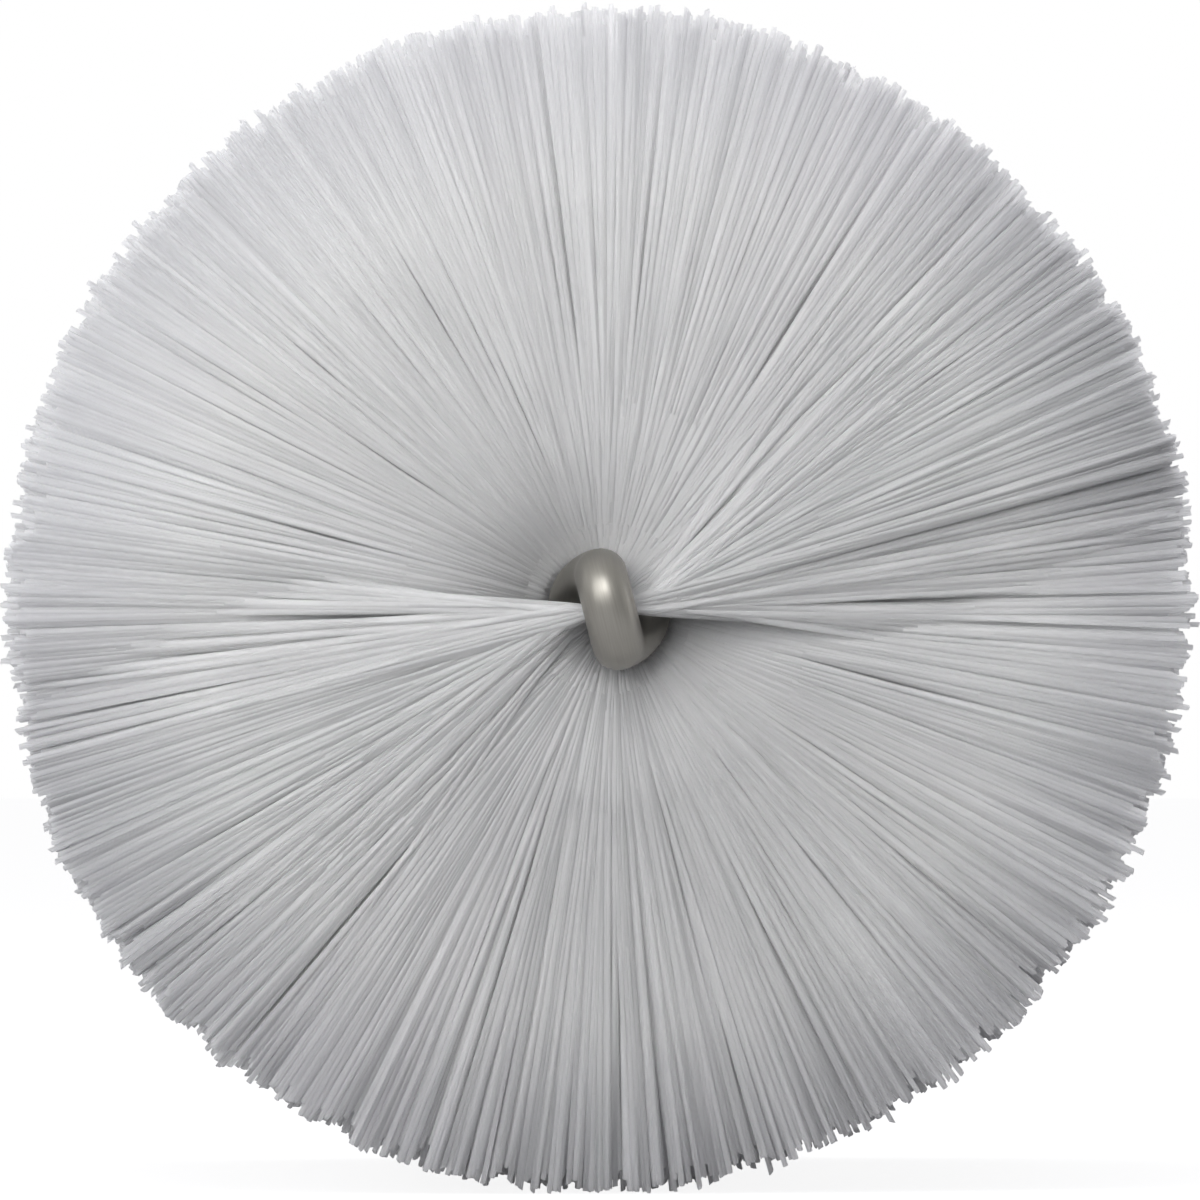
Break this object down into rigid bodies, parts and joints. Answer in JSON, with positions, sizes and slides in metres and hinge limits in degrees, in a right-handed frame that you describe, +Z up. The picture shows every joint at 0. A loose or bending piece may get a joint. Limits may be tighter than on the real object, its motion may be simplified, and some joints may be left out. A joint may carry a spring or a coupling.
{
  "type": "tube brush",
  "caption": "Round twisted wire brush head for scrubbing the inside of pipes, with stiff white filaments, a looped wire tip and a threaded coupling for a flexible rod.",
  "frame": {"origin": "on the surface that the brush lies on, under the middle of its length", "axes": "+Y along the brush's axis from the wire loop at the tip to the threaded end, +X to the right seen from the loop, +Z up"},
  "size_m": [0.09, 0.2136, 0.0895],
  "materials": {
    "filament": "semi-matt translucent white polyester filament, bundles read pale grey",
    "wire": "satin drawn stainless steel wire",
    "coupling": "fine turned stainless steel"
  },
  "bodies": {
    "root": {"bristle_turn_1_quarter_1": "filament", "bristle_turn_1_quarter_2": "filament", "bristle_turn_1_quarter_3": "filament", "bristle_turn_1_quarter_4": "filament", "bristle_turn_2_quarter_1": "filament", "bristle_turn_2_quarter_2": "filament", "bristle_turn_2_quarter_3": "filament", "bristle_turn_2_quarter_4": "filament", "bristle_turn_3_quarter_1": "filament", "bristle_turn_3_quarter_2": "filament", "bristle_turn_3_quarter_3": "filament", "bristle_turn_3_quarter_4": "filament", "bristle_turn_4_quarter_1": "filament", "bristle_turn_4_quarter_2": "filament", "bristle_turn_4_quarter_3": "filament", "bristle_turn_4_quarter_4": "filament", "bristle_turn_5_quarter_1": "filament", "bristle_turn_5_quarter_2": "filament", "bristle_turn_5_quarter_3": "filament", "bristle_turn_5_quarter_4": "filament", "bristle_turn_6_quarter_1": "filament", "bristle_turn_6_quarter_2": "filament", "bristle_turn_6_quarter_3": "filament", "bristle_turn_6_quarter_4": "filament", "twisted_wire": "wire", "coupling": "coupling"}
  },
  "joints": []
}
